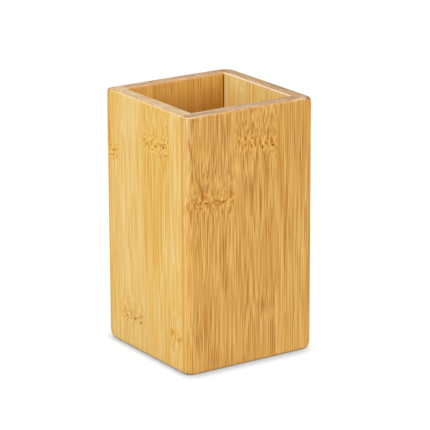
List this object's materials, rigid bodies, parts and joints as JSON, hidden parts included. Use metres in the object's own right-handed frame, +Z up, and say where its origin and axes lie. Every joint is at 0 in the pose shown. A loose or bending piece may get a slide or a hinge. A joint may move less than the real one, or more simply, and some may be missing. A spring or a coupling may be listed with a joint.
{
  "type": "toothbrush cup",
  "caption": "Square upright cup of thick laminated bamboo boards, open at the top, with rounded edges; it stands by a basin and holds toothbrushes.",
  "frame": {"origin": "centre of the underside, on the surface that the cup stands on", "axes": "+Z up through the open mouth, +X to the right, +Y to the back; the front is the board that is rebated at both ends, and it faces -Y"},
  "size_m": [0.065, 0.065, 0.115],
  "materials": {
    "bamboo": "satin"
  },
  "bodies": {
    "root": {"left_board_strip_1": "bamboo", "left_board_strip_2": "bamboo", "left_board_strip_3": "bamboo", "left_board_strip_4": "bamboo", "right_board_strip_1": "bamboo", "right_board_strip_2": "bamboo", "right_board_strip_3": "bamboo", "right_board_strip_4": "bamboo", "front_board_strip_1": "bamboo", "front_board_strip_2": "bamboo", "front_board_strip_3": "bamboo", "back_board_strip_1": "bamboo", "back_board_strip_2": "bamboo", "back_board_strip_3": "bamboo", "floor_board_strip_1": "bamboo", "floor_board_strip_2": "bamboo", "floor_board_strip_3": "bamboo"}
  },
  "joints": []
}
